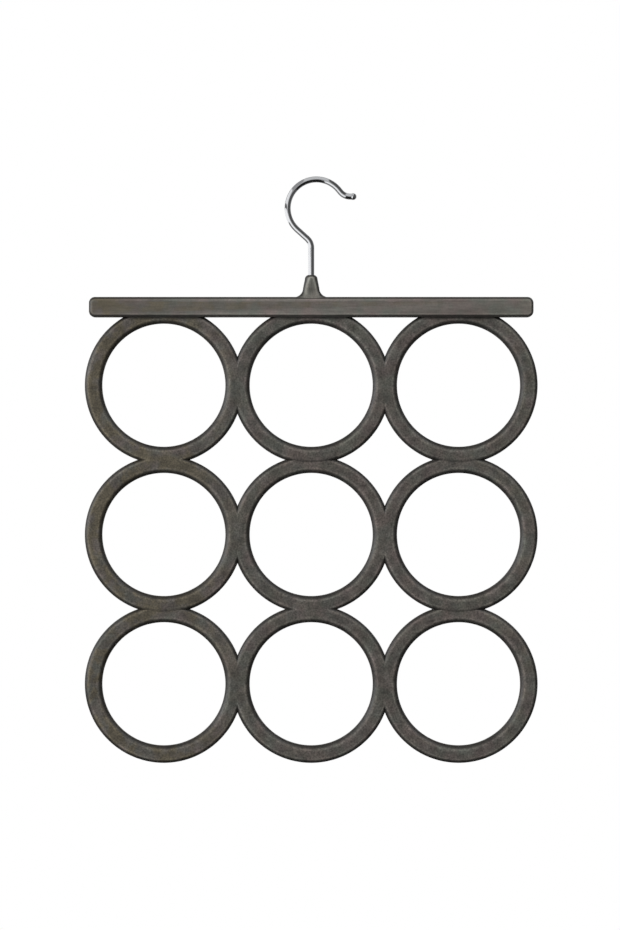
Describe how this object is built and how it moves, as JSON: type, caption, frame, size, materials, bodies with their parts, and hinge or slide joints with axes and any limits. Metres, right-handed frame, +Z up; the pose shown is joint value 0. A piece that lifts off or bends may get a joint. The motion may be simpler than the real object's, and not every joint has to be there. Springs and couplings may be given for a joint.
{
  "type": "scarf hanger",
  "caption": "Flat hanger with a grid of round rings under a straight bar, for scarves drawn through the rings, on a wire hook that swivels in the bar's neck.",
  "frame": {"origin": "the spot inside the hook's crown that rests on the rod, on the wire's mid-plane", "axes": "+Z up along the hook's stem, +X towards the hook's open side, -Y towards the front"},
  "size_m": [0.3018, 0.012, 0.3909],
  "materials": {
    "nap_grey": "moulded plastic with a short flocked nap",
    "hook_chrome": "bright chrome plate",
    "bush_nylon": "natural nylon",
    "dowel_plastic": "moulded plastic",
    "steel": "plain drawn steel"
  },
  "bodies": {
    "hook": {"hook_wire": "hook_chrome"},
    "hanger": {"thrust_washer": "steel", "neck_bush": "bush_nylon", "neck": "nap_grey", "bar_front_shell": "nap_grey", "bar_rear_shell": "nap_grey", "ring_top_left": "nap_grey", "ring_top_middle": "nap_grey", "ring_top_right": "nap_grey", "ring_centre_left": "nap_grey", "ring_centre_middle": "nap_grey", "ring_centre_right": "nap_grey", "ring_bottom_left": "nap_grey", "ring_bottom_middle": "nap_grey", "ring_bottom_right": "nap_grey", "row_dowels": "dowel_plastic", "column_dowels": "dowel_plastic", "ring_pins": "steel"}
  },
  "joints": [
    {"name": "hook_swivel", "type": "hinge", "parent": "hook", "child": "hanger", "pos_m": [-0.0035, 0, -0.06162], "axis": [0, 0, 1], "continuous": true}
  ]
}
